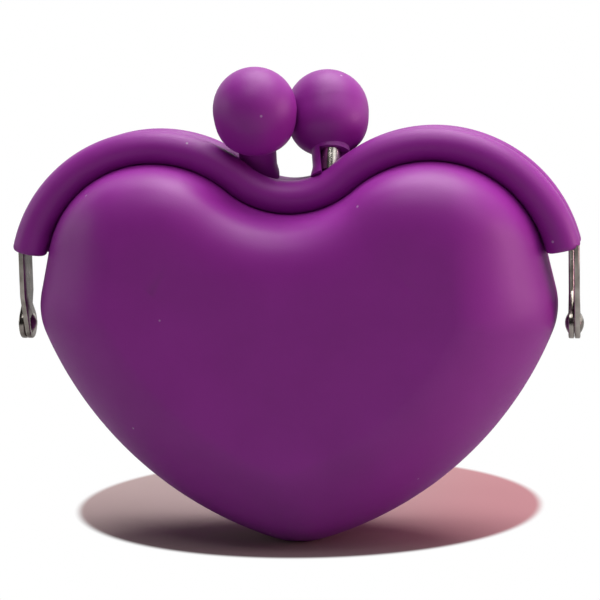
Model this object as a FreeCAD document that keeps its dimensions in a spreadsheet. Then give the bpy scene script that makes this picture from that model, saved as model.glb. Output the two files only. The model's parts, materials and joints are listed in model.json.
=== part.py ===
import FreeCAD, Part
import math
import os
import Sketcher

from FreeCAD import Vector

# A heart-shaped silicone coin purse on a kiss-lock frame, in millimetres and degrees.
# It stands on its foot at the origin, with its front towards -Y and its hinge axis along X.
# Each rear piece is its front piece turned half a turn about the upright axis.

DRIVING = {
    # hinge axis above the ground
    "hinge_height": "40.1",
    # rim path seen from the front: lobe centres above the hinge axis, and lobe tops above the valley
    "lobe_offset": "25.3",
    "lobe_height": "8.5",
    "rim_path_radius": "24.1",
    "valley_height": "9.3",
    # silicone rims
    "rim_radius": "3.15",
    "rim_end_angle": "12",
    "rim_gap": "0.3",
    # steel strips and their ears
    "strip_offset": "1.2",
    "strip_thickness": "1.0",
    "strip_width": "3.6",
    "strip_clearance": "0.05",
    "ear_radius": "2.8",
    "ear_neck_height": "5.6",
    "ear_gap": "0.1",
    # hinge rivets
    "rivet_radius": "1.0",
    "rivet_clearance": "0.05",
    "rivet_head_radius": "1.8",
    "rivet_head_height": "0.6",
    # pouch, whose cheeks reach past the lobes and have their centres above the hinge axis
    "pouch_depth": "38",
    "wall": "1.9",
    "cheek_reach": "1.55",
    "cheek_radius": "12.8",
    "cheek_height": "3.4",
    "side_radius": "67",
    "tip_radius": "14.6",
    "foot_cut": "0.7",
    "seat_clearance": "0.1",
    "mouth_gap": "0.5",
    # how the pouch rounds from its outline to its front: full along the lobes, softer below their shoulders
    "edge_rounding": "15",
    "edge_fullness": "4.5",
    "low_rounding": "17",
    "low_fullness": "1.7",
    "corner_share": "0.5",
    "shoulder_angle": "80",
    # soft bands that fold at the hinge line
    "fold_below": "20",
    "fold_above": "16",
    "fold_start": "1.5",
    "seam_gap": "0.2",
    # kiss-lock balls, whose centres lie above the valley, and their posts
    "ball_radius": "7.15",
    "ball_gap": "0.2",
    "ball_height": "15.8",
    "ball_cross": "2.4",
    "neck_radius": "3.4",
    "knob_radius": "4.0",
    "stem_radius": "1.65",
    "stem_rise": "2.0",
    "tenon_radius": "0.9",
    "tenon_reach": "1.2",
    "post_clearance": "0.05",
}

DERIVED = {
    "lobe_centre": "dims.hinge_height + dims.lobe_height",
    "valley_rise": "dims.rim_path_radius - dims.valley_height",
    "valley_level": "lobe_centre + valley_rise",
    "valley_radius": "(dims.lobe_offset ^ 2 + valley_rise ^ 2 - dims.rim_path_radius ^ 2)"
                     " / (2 * dims.valley_height)",
    "valley_centre": "valley_level + valley_radius",
    "rim_plane": "dims.rim_radius + dims.rim_gap / 2",
    "strip_radius": "dims.rim_path_radius + dims.strip_offset",
    "arm_reach": "dims.lobe_offset + strip_radius",
    "ear_step": "(dims.strip_thickness + dims.ear_gap) / 2",
    "ear_top": "dims.hinge_height + dims.ear_neck_height",
    "lobe_radius": "dims.rim_path_radius - dims.rim_radius - dims.seat_clearance",
    "cheek_across": "lobe_radius + dims.cheek_reach - dims.cheek_radius",
    "cheek_offset": "dims.lobe_offset + cheek_across",
    "cheek_centre": "dims.hinge_height + dims.cheek_height",
    "rim_end_height": "lobe_centre + dims.rim_path_radius * sin(dims.rim_end_angle)",
    "tip_centre": "dims.tip_radius - dims.foot_cut",
    "ball_offset": "dims.ball_radius + dims.ball_gap / 2",
    "ball_centre": "valley_level + dims.ball_height",
    "post_across": "ball_offset - ear_step",
    "strip_valley": "valley_radius - dims.strip_offset",
    "valley_end": "dims.lobe_offset * strip_valley / (strip_valley + strip_radius)",
    "post_foot": "post_across < valley_end"
                 " ? valley_centre - sqrt(strip_valley ^ 2 - post_across ^ 2)"
                 " : lobe_centre + sqrt(strip_radius ^ 2 - (dims.lobe_offset - post_across) ^ 2)",
    "post_lean": "atan2(dims.ball_cross + rim_plane; ball_centre - post_foot)",
    "post_length": "hypot(dims.ball_cross + rim_plane; ball_centre - post_foot)",
    "neck_top": "post_length - sqrt(dims.ball_radius ^ 2 - dims.neck_radius ^ 2)",
    "grip_length": "2 * dims.strip_thickness + dims.ear_gap + 2 * dims.rivet_clearance",
    "head_ball": "(dims.rivet_head_radius ^ 2 + dims.rivet_head_height ^ 2) / (2 * dims.rivet_head_height)",
    "span": "4 * arm_reach",
}

# Steps of the curve that rounds the pouch from its outline to its front and back.
SECTION_ANGLES = (-90, -84, -77, -66, -52, -36, -18, 0, 18, 36, 52, 66, 77, 84, 90)

# Depth of each pouch surface below the outer one.
SURFACES = {"outside": "0", "inside": "dims.wall"}

HALF_TURNS = {"front": 0, "rear": 180}

doc = FreeCAD.newDocument("coin_purse")


def fill_sheet(name, rows, mark):
    """A sheet with one named row for each entry."""
    sheet = doc.addObject("Spreadsheet::Sheet", name)
    for number, (alias, content) in enumerate(rows.items(), start=1):
        sheet.set(f"A{number}", alias)
        sheet.set(f"B{number}", mark + content)
        sheet.setAlias(f"B{number}", alias)
    return sheet


def value(expression):
    """The value of a sheet expression as a plain number."""
    result = dims.evalExpression(expression)
    return getattr(result, "Value", result)


def moved(x="0", y="0", z="0", axis="1; 0; 0", angle="0"):
    """Expression for a placement at a point, turned about an axis."""
    return f"placement(vector({x}; {y}; {z}); rotation(vector({axis}); {angle}))"


def turned(half, placement):
    """Expression for a placement that belongs to the front or the rear half."""
    return moved(axis="0; 0; 1", angle=str(HALF_TURNS[half])) + " * " + placement


def primitive(kind, name, placement, **sizes):
    """A primitive with every size and its placement bound to the sheet."""
    solid = doc.addObject(f"Part::{kind}", name)
    for size, expression in sizes.items():
        solid.setExpression(size, expression)
    solid.setExpression("Placement", placement)
    return solid


def fuse(name, *solids):
    joined = doc.addObject("Part::MultiFuse", name)
    joined.Shapes = list(solids)
    return joined


def common(name, *solids):
    shared = doc.addObject("Part::MultiCommon", name)
    shared.Shapes = list(solids)
    return shared


def cut(name, base, *tools):
    """The base less each tool in turn, the last cut under the given name."""
    for number, tool in enumerate(tools, start=1):
        step = name if number == len(tools) else f"{name}_cut_{number}"
        result = doc.addObject("Part::Cut", step)
        result.Base = base
        result.Tool = tool
        base = result
    return base


def dimension(sketch, expression, kind, *where):
    """A dimension of the sketch that follows a sheet expression."""
    index = sketch.addConstraint(Sketcher.Constraint(kind, *where, value(expression)))
    sketch.setExpression(f"Constraints[{index}]", expression)


def constrain(sketch, kind, *rows):
    for row in rows:
        sketch.addConstraint(Sketcher.Constraint(kind, *row))


def add_arc(sketch, centre, radius, start, end):
    """A counter-clockwise arc between two angles in radians, and its number in the sketch."""
    circle = Part.Circle(centre, Vector(0, 0, 1), radius)
    return sketch.addGeometry(Part.ArcOfCircle(circle, start, end))


def add_line(sketch, start, end):
    return sketch.addGeometry(Part.LineSegment(start, end))


def bearing(start, end):
    """Angle of the line from one point to another, in radians."""
    return math.atan2(end.y - start.y, end.x - start.x)


def around(centre, radius, angle):
    """The point of a circle at an angle in radians."""
    return centre + Vector(radius * math.cos(angle), radius * math.sin(angle), 0)


def mirrored(point):
    return Vector(-point.x, point.y, 0)


def origin_plane(body, role):
    return next(plane for plane in body.Origin.OriginFeatures if plane.Role == role)


def body_sketch(body, name, role, offset):
    """A sketch of the body on one of its origin planes, shifted along the plane's normal."""
    sketch = body.newObject("Sketcher::SketchObject", name)
    sketch.AttachmentSupport = [(origin_plane(body, role), "")]
    sketch.MapMode = "FlatFace"
    sketch.setExpression("AttachmentOffset.Base.z", offset)
    return sketch


def upright_sketch(name, placement):
    """A free sketch whose axes lie along X and Z."""
    sketch = doc.addObject("Sketcher::SketchObject", name)
    sketch.setExpression("Placement", placement + " * " + moved(angle="90"))
    return sketch


def inset_rows():
    """How far each section of a pouch surface is drawn in, along its lobes (edge) and below them (low)."""
    rows = {}
    for surface, depth in SURFACES.items():
        for number, angle in enumerate(SECTION_ANGLES):
            for zone in ("edge", "low"):
                rise = f"abs(sin({angle} deg)) ^ dims.{zone}_fullness"
                share = f"(1 - (1 - {rise}) ^ (1 / dims.{zone}_fullness))"
                rows[f"{surface}_{zone}_{number}"] = f"{depth} + (dims.{zone}_rounding - {depth}) * {share}"
    return rows


def side_centre(cheek, cheek_radius, tip, tip_radius, side_radius):
    """Centre of the large arc that touches the cheek and tip circles from outside."""
    reach = side_radius - cheek_radius
    other = side_radius - tip_radius
    apart = (tip - cheek).Length
    along = (reach ** 2 - other ** 2 + apart ** 2) / (2 * apart)
    across = math.sqrt(reach ** 2 - along ** 2)
    ahead = (tip - cheek).normalize()
    return cheek + ahead * along + Vector(ahead.y, -ahead.x, 0) * across


def heart_section(name, edge_inset, low_inset, offset):
    """The heart outline in an upright plane, drawn in by one inset along its lobes and another below."""
    sketch = upright_sketch(name, moved(y=offset))
    lobe_rule = f"derived.lobe_radius - {edge_inset}"
    split_rule = f"derived.lobe_centre + ({lobe_rule}) * sin(dims.shoulder_angle)"
    shoulder_rule = f"{lobe_rule} - ({low_inset} - {edge_inset}) / (1 - cos(dims.shoulder_angle))"
    cheek_rule = f"dims.cheek_radius - dims.corner_share * {low_inset}"
    cheek_across_rule = f"derived.cheek_offset - (1 - dims.corner_share) * {low_inset}"
    side_rule = f"dims.side_radius - {low_inset}"
    tip_rule = f"dims.tip_radius - dims.corner_share * {low_inset}"
    tip_up_rule = f"derived.tip_centre + (1 - dims.corner_share) * {low_inset}"

    lobe = Vector(value("dims.lobe_offset"), value("derived.lobe_centre"), 0)
    lobe_radius = value(lobe_rule)
    split = math.radians(value("dims.shoulder_angle"))
    shoulder_radius = value(shoulder_rule)
    shoulder = around(lobe, lobe_radius - shoulder_radius, split)
    valley = Vector(0, value("derived.valley_centre"), 0)
    valley_radius = (valley - lobe).Length - lobe_radius
    cheek = Vector(value(cheek_across_rule), value("derived.cheek_centre"), 0)
    cheek_radius = value(cheek_rule)
    tip = Vector(0, value(tip_up_rule), 0)
    tip_radius = value(tip_rule)
    side_radius = value(side_rule)
    side = side_centre(cheek, cheek_radius, tip, tip_radius, side_radius)
    flank = bearing(shoulder, cheek) + math.acos((shoulder_radius - cheek_radius) / (cheek - shoulder).Length)
    flank_low = around(cheek, cheek_radius, flank)
    flank_high = around(shoulder, shoulder_radius, flank)
    to_lobe = bearing(valley, lobe)
    to_cheek = bearing(side, cheek)
    to_tip = bearing(side, tip)

    valley_arc = add_arc(sketch, valley, valley_radius, math.pi - to_lobe, to_lobe)
    lobe_right = add_arc(sketch, lobe, lobe_radius, split, bearing(lobe, valley))
    lobe_left = add_arc(sketch, mirrored(lobe), lobe_radius, bearing(mirrored(lobe), valley), math.pi - split)
    shoulder_right = add_arc(sketch, shoulder, shoulder_radius, flank, split)
    shoulder_left = add_arc(sketch, mirrored(shoulder), shoulder_radius, math.pi - split, math.pi - flank)
    flank_right = add_line(sketch, flank_low, flank_high)
    flank_left = add_line(sketch, mirrored(flank_high), mirrored(flank_low))
    cheek_right = add_arc(sketch, cheek, cheek_radius, to_cheek, flank)
    cheek_left = add_arc(sketch, mirrored(cheek), cheek_radius, math.pi - flank, math.pi - to_cheek)
    side_right = add_arc(sketch, side, side_radius, to_tip, to_cheek)
    side_left = add_arc(sketch, mirrored(side), side_radius, math.pi - to_cheek, math.pi - to_tip)
    tip_arc = add_arc(sketch, tip, tip_radius, math.pi - to_tip, to_tip)

    constrain(
        sketch, "Tangent",
        (valley_arc, 2, lobe_right, 2), (valley_arc, 1, lobe_left, 1),
        (lobe_right, 1, shoulder_right, 2), (lobe_left, 2, shoulder_left, 1),
        (shoulder_right, 1, flank_right, 2), (shoulder_left, 2, flank_left, 1),
        (flank_right, 1, cheek_right, 2), (flank_left, 2, cheek_left, 1),
        (cheek_right, 1, side_right, 2), (cheek_left, 2, side_left, 1),
        (side_right, 1, tip_arc, 2), (side_left, 2, tip_arc, 1),
    )
    constrain(sketch, "Symmetric", (lobe_right, 3, lobe_left, 3, -2), (cheek_right, 3, cheek_left, 3, -2))
    constrain(
        sketch, "Equal",
        (lobe_right, lobe_left), (shoulder_right, shoulder_left),
        (cheek_right, cheek_left), (side_right, side_left),
    )
    constrain(sketch, "Horizontal", (lobe_right, 1, lobe_left, 2))
    constrain(sketch, "PointOnObject", (tip_arc, 3, -2))
    dimension(sketch, "dims.lobe_offset", "DistanceX", -1, 1, lobe_right, 3)
    dimension(sketch, "derived.lobe_centre", "DistanceY", -1, 1, lobe_right, 3)
    dimension(sketch, split_rule, "DistanceY", -1, 1, lobe_right, 1)
    dimension(sketch, cheek_across_rule, "DistanceX", -1, 1, cheek_right, 3)
    dimension(sketch, "derived.cheek_centre", "DistanceY", -1, 1, cheek_right, 3)
    dimension(sketch, "derived.valley_centre", "DistanceY", -1, 1, valley_arc, 3)
    dimension(sketch, tip_up_rule, "DistanceY", -1, 1, tip_arc, 3)
    dimension(sketch, lobe_rule, "Radius", lobe_right)
    dimension(sketch, shoulder_rule, "Radius", shoulder_right)
    dimension(sketch, cheek_rule, "Radius", cheek_right)
    dimension(sketch, side_rule, "Radius", side_right)
    dimension(sketch, tip_rule, "Radius", tip_arc)
    return sketch


def heart_loft(surface):
    """A puffed heart within one of the pouch's surfaces."""
    loft = doc.addObject("Part::Loft", f"pouch_{surface}")
    sections = []
    for number, angle in enumerate(SECTION_ANGLES):
        offset = f"(dims.pouch_depth / 2 - {SURFACES[surface]}) * sin({angle} deg)"
        insets = [f"insets.{surface}_{zone}_{number}" for zone in ("edge", "low")]
        sections.append(heart_section(f"{surface}_section_{number}", *insets, offset))
    loft.Sections = sections
    loft.Solid = True
    return loft


def block(name, placement):
    """A cube larger than the purse, whose corner lies at the placement."""
    span = "derived.span"
    return primitive("Box", name, placement, Length=span, Width=span, Height=span)


def half_space(name, half, angle, shift):
    """A block above a plane through the hinge axis that falls by an angle towards its half."""
    hinge = moved(z="dims.hinge_height", angle=angle)
    corner = moved("-derived.span / 2", "-derived.span / 2", shift)
    return block(name, turned(half, f"{hinge} * {corner}"))


def side_block(name, half, distance):
    """A block on one side of the middle plane that starts a distance away from it."""
    corner = moved("-derived.span / 2", f"-derived.span - {distance}", "-derived.span / 2")
    return block(name, turned(half, corner))


def pouch_bowl(shell):
    """The lower bowl, below a plane that falls from the hinge axis to each side, flat at its foot."""
    ground = block("ground", moved("-derived.span / 2", "-derived.span / 2", "-derived.span"))
    tops = [half_space(f"bowl_top_{half}", half, "dims.fold_below", "-dims.seam_gap") for half in HALF_TURNS]
    return cut("pouch_bowl", shell, ground, *tops)


def pouch_fold(shell, half):
    """The soft band between the bowl and the panel of one half."""
    lower = half_space(f"{half}_fold_lower", half, "dims.fold_below", "0")
    upper = half_space(f"{half}_fold_upper", half, "-dims.fold_above", "0")
    side = side_block(f"{half}_fold_side", half, "dims.fold_start")
    band = common(f"{half}_fold_band", shell, lower, side)
    return cut(f"{half}_fold", band, upper)


def pouch_panel(shell, half):
    """The upper wall of one half, which ends at the mouth under its rim."""
    upper = half_space(f"{half}_panel_lower", half, "-dims.fold_above", "dims.seam_gap")
    side = side_block(f"{half}_panel_side", half, "dims.mouth_gap / 2")
    return common(f"{half}_panel", shell, upper, side)


def rim_path(name, half):
    """Centre line of one rim: lobe, valley and lobe as tangent arcs."""
    sketch = upright_sketch(name, turned(half, moved(y="-derived.rim_plane")))
    lobe = Vector(value("dims.lobe_offset"), value("derived.lobe_centre"), 0)
    valley = Vector(0, value("derived.valley_centre"), 0)
    radius = value("dims.rim_path_radius")
    end = math.radians(value("dims.rim_end_angle"))
    right = add_arc(sketch, lobe, radius, end, bearing(lobe, valley))
    to_lobe = bearing(valley, lobe)
    middle = add_arc(sketch, valley, value("derived.valley_radius"), math.pi - to_lobe, to_lobe)
    left = add_arc(sketch, mirrored(lobe), radius, bearing(mirrored(lobe), valley), math.pi - end)
    constrain(sketch, "Tangent", (right, 2, middle, 2), (middle, 1, left, 1))
    constrain(sketch, "Symmetric", (right, 3, left, 3, -2))
    constrain(sketch, "Equal", (right, left))
    constrain(sketch, "Horizontal", (right, 1, left, 2))
    dimension(sketch, "dims.lobe_offset", "DistanceX", -1, 1, right, 3)
    dimension(sketch, "derived.lobe_centre", "DistanceY", -1, 1, right, 3)
    dimension(sketch, "dims.rim_path_radius", "Radius", right)
    dimension(sketch, "derived.valley_centre", "DistanceY", -1, 1, middle, 3)
    dimension(sketch, "derived.rim_end_height", "DistanceY", -1, 1, right, 1)
    return sketch


def rim_tube(name, half, radius):
    """A round bar along the centre line of one rim."""
    path = rim_path(f"{name}_path", half)
    end_reach = "dims.lobe_offset + dims.rim_path_radius * cos(dims.rim_end_angle)"
    end = moved(end_reach, "-derived.rim_plane", "derived.rim_end_height", "0; 1; 0", "-dims.rim_end_angle")
    ring = primitive("Circle", f"{name}_ring", turned(half, end), Radius=radius)
    tube = doc.addObject("Part::Sweep", name)
    tube.Sections = [ring]
    tube.Spine = (path, ["Edge1", "Edge2", "Edge3"])
    tube.Solid = True
    return tube


def strip_band(body, name, spare):
    """Profile of the bent strip with straight arms, wider on each face by a spare amount."""
    sketch = body_sketch(body, name, "XZ_Plane", "derived.rim_plane")
    shift = Vector(value("derived.ear_step"), 0, 0)
    lobe = Vector(value("dims.lobe_offset"), value("derived.lobe_centre"), 0)
    valley = Vector(0, value("derived.valley_centre"), 0) + shift
    right_lobe = lobe + shift
    left_lobe = mirrored(lobe) + shift
    foot = value("derived.ear_top")
    half_thickness = f"(dims.strip_thickness / 2 + {spare})"
    edges = {}
    for edge, sign in (("outer", "+"), ("inner", "-")):
        radius_rule = f"derived.strip_radius {sign} {half_thickness}"
        radius = value(radius_rule)
        valley_radius = (valley - right_lobe).Length - radius
        right_end = right_lobe + Vector(radius, 0, 0)
        left_end = left_lobe - Vector(radius, 0, 0)
        right_arm = add_line(sketch, Vector(right_end.x, foot, 0), right_end)
        right_arc = add_arc(sketch, right_lobe, radius, 0, bearing(right_lobe, valley))
        to_right = bearing(valley, right_lobe)
        middle = add_arc(sketch, valley, valley_radius, math.pi - to_right, to_right)
        left_arc = add_arc(sketch, left_lobe, radius, bearing(left_lobe, valley), math.pi)
        left_arm = add_line(sketch, left_end, Vector(left_end.x, foot, 0))
        constrain(
            sketch, "Tangent",
            (right_arm, 2, right_arc, 1), (right_arc, 2, middle, 2),
            (middle, 1, left_arc, 1), (left_arc, 2, left_arm, 1),
        )
        constrain(sketch, "Vertical", (right_arm,), (left_arm,))
        constrain(sketch, "Equal", (right_arc, left_arc))
        dimension(sketch, radius_rule, "Radius", right_arc)
        dimension(sketch, "derived.valley_centre", "DistanceY", -1, 1, middle, 3)
        edges[edge] = (right_arm, right_arc, left_arc, left_arm)
    outer_right, outer_arc, outer_left_arc, outer_left = edges["outer"]
    inner_right, inner_arc, inner_left_arc, inner_left = edges["inner"]
    constrain(sketch, "Coincident", (outer_arc, 3, inner_arc, 3), (outer_left_arc, 3, inner_left_arc, 3))
    dimension(sketch, "dims.lobe_offset + derived.ear_step", "DistanceX", -1, 1, outer_arc, 3)
    dimension(sketch, "derived.lobe_centre", "DistanceY", -1, 1, outer_arc, 3)
    dimension(sketch, "dims.lobe_offset - derived.ear_step", "DistanceX", outer_left_arc, 3, -1, 1)
    dimension(sketch, "derived.lobe_centre", "DistanceY", -1, 1, outer_left_arc, 3)
    for outer_arm, inner_arm, end in ((outer_right, inner_right, 1), (outer_left, inner_left, 2)):
        outer_foot = sketch.getPoint(outer_arm, end)
        inner_foot = sketch.getPoint(inner_arm, end)
        base = add_line(sketch, outer_foot, inner_foot)
        constrain(sketch, "Coincident", (base, 1, outer_arm, end), (base, 2, inner_arm, end))
        constrain(sketch, "Horizontal", (base,))
        dimension(sketch, "derived.ear_top", "DistanceY", -1, 1, base, 1)
    return sketch


def strip_ear(body, name, reach):
    """Ear plate at the end of one arm, with the rivet hole at the hinge axis."""
    sketch = body_sketch(body, name, "YZ_Plane", reach)
    pin = Vector(0, value("dims.hinge_height"), 0)
    radius = value("dims.ear_radius")
    top = value("derived.ear_top")
    front_edge = "derived.rim_plane + dims.strip_width / 2"
    back_edge = "derived.rim_plane - dims.strip_width / 2"
    front_corner = Vector(-value(front_edge), top, 0)
    back_corner = Vector(-value(back_edge), top, 0)
    front_angle = bearing(pin, front_corner) + math.acos(radius / (front_corner - pin).Length)
    back_angle = bearing(pin, back_corner) - math.acos(radius / (back_corner - pin).Length)
    rounding = add_arc(sketch, pin, radius, front_angle, back_angle)
    front_line = add_line(sketch, front_corner, around(pin, radius, front_angle))
    back_line = add_line(sketch, around(pin, radius, back_angle), back_corner)
    top_line = add_line(sketch, back_corner, front_corner)
    hole = sketch.addGeometry(Part.Circle(pin, Vector(0, 0, 1), value("dims.rivet_radius")))
    constrain(sketch, "Tangent", (front_line, 2, rounding, 1), (back_line, 1, rounding, 2))
    constrain(
        sketch, "Coincident",
        (top_line, 1, back_line, 2), (top_line, 2, front_line, 1), (hole, 3, rounding, 3),
    )
    constrain(sketch, "PointOnObject", (rounding, 3, -2))
    constrain(sketch, "Horizontal", (top_line,))
    dimension(sketch, "dims.hinge_height", "DistanceY", -1, 1, rounding, 3)
    dimension(sketch, "dims.ear_radius", "Radius", rounding)
    dimension(sketch, "dims.rivet_radius + dims.rivet_clearance", "Radius", hole)
    dimension(sketch, "derived.ear_top", "DistanceY", -1, 1, top_line, 1)
    dimension(sketch, front_edge, "DistanceX", front_line, 1, -1, 1)
    dimension(sketch, back_edge, "DistanceX", back_line, 2, -1, 1)
    return sketch


def pad(body, sketch, length):
    """A pad to both sides of its sketch."""
    feature = body.newObject("PartDesign::Pad", f"{sketch.Name}_pad")
    feature.Profile = sketch
    feature.SideType = "Symmetric"
    feature.setExpression("Length", length)
    return feature


def strip_body(name, half, spare, with_ears):
    """The bent strip of one half, with a spare amount all round, and with its two ears if asked."""
    body = doc.addObject("PartDesign::Body", name)
    pad(body, strip_band(body, f"{name}_band", spare), f"dims.strip_width + 2 * {spare}")
    if with_ears:
        for side, sign in (("right", ""), ("left", "-")):
            ear = strip_ear(body, f"{name}_{side}_ear", f"{sign}derived.arm_reach + derived.ear_step")
            pad(body, ear, "dims.strip_thickness")
    body.setExpression("Placement", turned(half, moved()))
    return body


def along_post(half, distance, across="0", ahead="0"):
    """Placement on the leaning axis of one half's post, at a distance from its foot."""
    foot = moved("derived.ball_offset", "-derived.rim_plane", "derived.post_foot", angle="-derived.post_lean")
    return turned(half, f"{foot} * {moved(across, ahead, distance)}")


def post_solid(name, half, spare):
    """Tenon, stem and knob of one post, larger by a spare amount."""
    tenon = primitive("Cylinder", f"{name}_tenon", along_post(half, "-dims.tenon_reach"),
                      Radius=f"dims.tenon_radius + {spare}", Height="dims.tenon_reach + dims.stem_rise")
    stem = primitive("Cylinder", f"{name}_stem", along_post(half, f"dims.stem_rise - {spare}"),
                     Radius=f"dims.stem_radius + {spare}", Height="derived.post_length - dims.stem_rise")
    knob = primitive("Sphere", f"{name}_knob", along_post(half, "derived.post_length"),
                     Radius=f"dims.knob_radius + {spare}")
    return fuse(name, tenon, stem, knob)


def ball_cover(half, post_room, rim_rooms):
    """Silicone ball and neck over one post, with a window in the neck that shows the stem."""
    name = f"{half}_ball_cover"
    ball = primitive("Sphere", f"{name}_ball", along_post(half, "derived.post_length"),
                     Radius="dims.ball_radius")
    neck = primitive("Cylinder", f"{name}_neck", along_post(half, "dims.stem_rise"),
                     Radius="dims.neck_radius", Height="derived.post_length - dims.stem_rise")
    window_side = "-dims.stem_radius - dims.post_clearance"
    window = primitive("Box", f"{name}_window", along_post(half, "0", window_side, "-dims.ball_radius"),
                       Length="2 * dims.ball_radius", Width="dims.ball_radius", Height="derived.neck_top")
    return cut(name, fuse(f"{name}_outside", ball, neck), *rim_rooms, post_room, window)


def hinge_rivet(name, half):
    """Rivet through the two ears at the right of one half, with a domed head at each end."""
    def along_pin(distance, turn):
        start = f"derived.arm_reach + {distance}"
        return turned(half, moved(start, "0", "dims.hinge_height", "0; 1; 0", turn))

    half_grip = "derived.grip_length / 2"
    dome_low = "asin((derived.head_ball - dims.rivet_head_height) / derived.head_ball)"
    dome_sunk = "(derived.head_ball - dims.rivet_head_height)"
    shank = primitive("Cylinder", f"{name}_shank", along_pin(f"-{half_grip}", "90"),
                      Radius="dims.rivet_radius", Height="derived.grip_length")
    outer = primitive("Sphere", f"{name}_outer_head", along_pin(f"({half_grip} - {dome_sunk})", "90"),
                      Radius="derived.head_ball", Angle1=dome_low)
    inner = primitive("Sphere", f"{name}_inner_head", along_pin(f"({dome_sunk} - {half_grip})", "-90"),
                      Radius="derived.head_ball", Angle1=dome_low)
    return fuse(name, shank, outer, inner)


def purse_half(half, shell, rim_rooms):
    """The pieces of one half that turn together, and its fold."""
    post = post_solid(f"{half}_ball_post", half, "0")
    post_room = post_solid(f"{half}_post_room", half, "dims.post_clearance")
    strip_blank = strip_body(f"{half}_strip_blank", half, "0", True)
    tenon_hole = primitive("Cylinder", f"{half}_tenon_hole", along_post(half, "-dims.tenon_reach"),
                           Radius="dims.tenon_radius", Height="dims.tenon_reach + dims.stem_rise")
    strip = cut(f"{half}_frame_strip", strip_blank, tenon_hole)
    strip_room = strip_body(f"{half}_strip_room", half, "dims.strip_clearance", False)
    tube = rim_tube(f"{half}_rim_tube", half, "dims.rim_radius")
    sleeve = cut(f"{half}_rim_sleeve", tube, strip_room, post_room)
    cover = ball_cover(half, post_room, rim_rooms)
    return [pouch_fold(shell, half), pouch_panel(shell, half), sleeve, strip, post, cover]


def check(thing):
    """Stops the build if an object failed or its shape is missing or broken."""
    if "Invalid" in thing.State or "Error" in thing.State:
        raise RuntimeError(f"{thing.Label} failed: {thing.State}")
    if hasattr(thing, "Shape") and thing.Shape.isNull():
        raise RuntimeError(f"{thing.Label} has no shape")


dims = fill_sheet("dims", DRIVING, "")
doc.recompute()
fill_sheet("derived", DERIVED, "=")
fill_sheet("insets", inset_rows(), "=")
doc.recompute()

shell = cut("pouch_shell", heart_loft("outside"), heart_loft("inside"))
rooms = [rim_tube(f"{half}_rim_room", half, "dims.rim_radius + dims.rim_gap") for half in HALF_TURNS]
pieces = [pouch_bowl(shell)]
for half in HALF_TURNS:
    pieces += purse_half(half, shell, rooms)
pieces.append(hinge_rivet("right_hinge_rivet", "front"))
pieces.append(hinge_rivet("left_hinge_rivet", "rear"))
doc.recompute()

for thing in doc.Objects:
    check(thing)
os.makedirs("parts", exist_ok=True)
for piece in pieces:
    if not piece.Shape.isValid() or len(piece.Shape.Solids) != 1:
        raise RuntimeError(f"{piece.Label} is not one sound solid")
for piece in pieces:
    piece.Shape.exportStep(f"parts/{piece.Label}.step")
    print(f"{piece.Label}: {piece.Shape.Volume:.1f} mm3")
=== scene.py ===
import json
import math

import bmesh
import bpy
import numpy as np
from mathutils import Matrix, Vector


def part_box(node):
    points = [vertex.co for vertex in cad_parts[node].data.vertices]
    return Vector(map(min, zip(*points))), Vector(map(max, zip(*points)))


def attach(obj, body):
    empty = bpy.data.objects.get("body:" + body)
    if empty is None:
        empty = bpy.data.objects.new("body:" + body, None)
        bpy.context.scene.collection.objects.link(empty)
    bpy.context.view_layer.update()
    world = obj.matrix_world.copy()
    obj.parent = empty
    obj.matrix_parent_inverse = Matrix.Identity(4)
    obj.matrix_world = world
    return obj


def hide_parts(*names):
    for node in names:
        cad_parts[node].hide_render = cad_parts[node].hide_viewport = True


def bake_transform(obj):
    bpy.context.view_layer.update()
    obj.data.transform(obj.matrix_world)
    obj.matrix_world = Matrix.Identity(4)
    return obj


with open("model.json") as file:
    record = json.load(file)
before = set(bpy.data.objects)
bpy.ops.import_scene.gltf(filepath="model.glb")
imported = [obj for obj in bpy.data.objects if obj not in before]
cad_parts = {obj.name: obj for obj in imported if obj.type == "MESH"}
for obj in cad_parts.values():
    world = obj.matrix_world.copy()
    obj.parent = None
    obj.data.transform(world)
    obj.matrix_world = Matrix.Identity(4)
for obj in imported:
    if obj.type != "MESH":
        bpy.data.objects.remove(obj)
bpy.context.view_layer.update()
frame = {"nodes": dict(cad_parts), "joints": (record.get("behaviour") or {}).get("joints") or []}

# A heart-shaped silicone coin purse with a kiss-lock frame.
# Lengths are in millimetres until a mesh is made, and the front faces -Y.
MM = 0.001


def box_mm(node):
    """Lowest and highest corner of a CAD node in millimetres."""
    low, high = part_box(node)
    return np.array(low) / MM, np.array(high) / MM


# Sizes read from the frame
HINGE_Z = frame["joints"][0]["pos_m"][2] / MM
RIM_LOW, RIM_HIGH = box_mm("front_rim_sleeve")
RIM_RADIUS = (RIM_HIGH[1] - RIM_LOW[1]) / 2
RIM_Y = (RIM_HIGH[1] + RIM_LOW[1]) / 2
BALL_LOW, BALL_HIGH = box_mm("front_ball_cover")
BALL_RADIUS = (BALL_HIGH[0] - BALL_LOW[0]) / 2
BALL_CENTRE = np.array([
    (BALL_HIGH[0] + BALL_LOW[0]) / 2,
    BALL_HIGH[1] - BALL_RADIUS,
    BALL_HIGH[2] - BALL_RADIUS,
])
POUCH_LOW, POUCH_HIGH = box_mm("pouch_bowl")
HALF_DEPTH = (POUCH_HIGH[1] - POUCH_LOW[1]) / 2

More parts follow.
